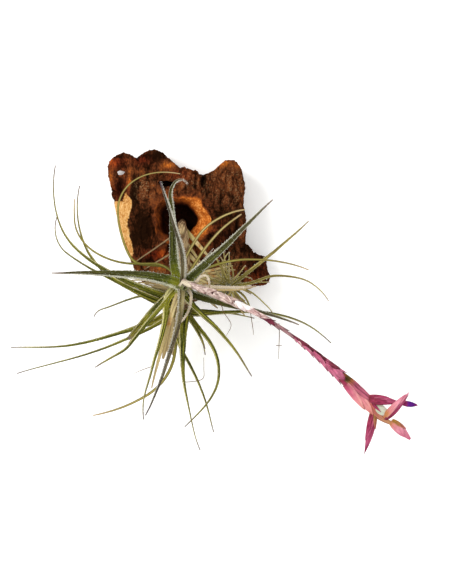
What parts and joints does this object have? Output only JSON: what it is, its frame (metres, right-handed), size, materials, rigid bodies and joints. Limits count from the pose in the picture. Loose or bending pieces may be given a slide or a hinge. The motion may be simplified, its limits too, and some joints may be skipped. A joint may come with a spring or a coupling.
{
  "type": "air plant on a cork bark mount",
  "caption": "Air plant with silvery curling leaves and a leaning rose-pink flower stalk, rooted in the knothole of a piece of cork bark that lies on its flat back.",
  "frame": {"origin": "on the flat back of the bark, straight under the knothole that the plant grows from", "axes": "+X towards the flower head's side, +Y along the bark's grain to its top end, +Z out of the back through the knothole"},
  "size_m": [0.3228, 0.2448, 0.1343],
  "materials": {
    "bark": "rough, fissured cork bark, orange at its broken edges",
    "dry_leaf": "dry straw",
    "leaf": "matt green under silver scales",
    "scape": "silver-pink, scaly bracts",
    "flower_bract": "satin rose bracts",
    "petal": "satin violet petals"
  },
  "bodies": {
    "root": {"bark_mount": "bark", "old_stem": "dry_leaf", "leaf_rosette": "leaf", "scape": "scape", "flower_head": "flower_bract", "petal_tube": "petal"}
  },
  "joints": []
}
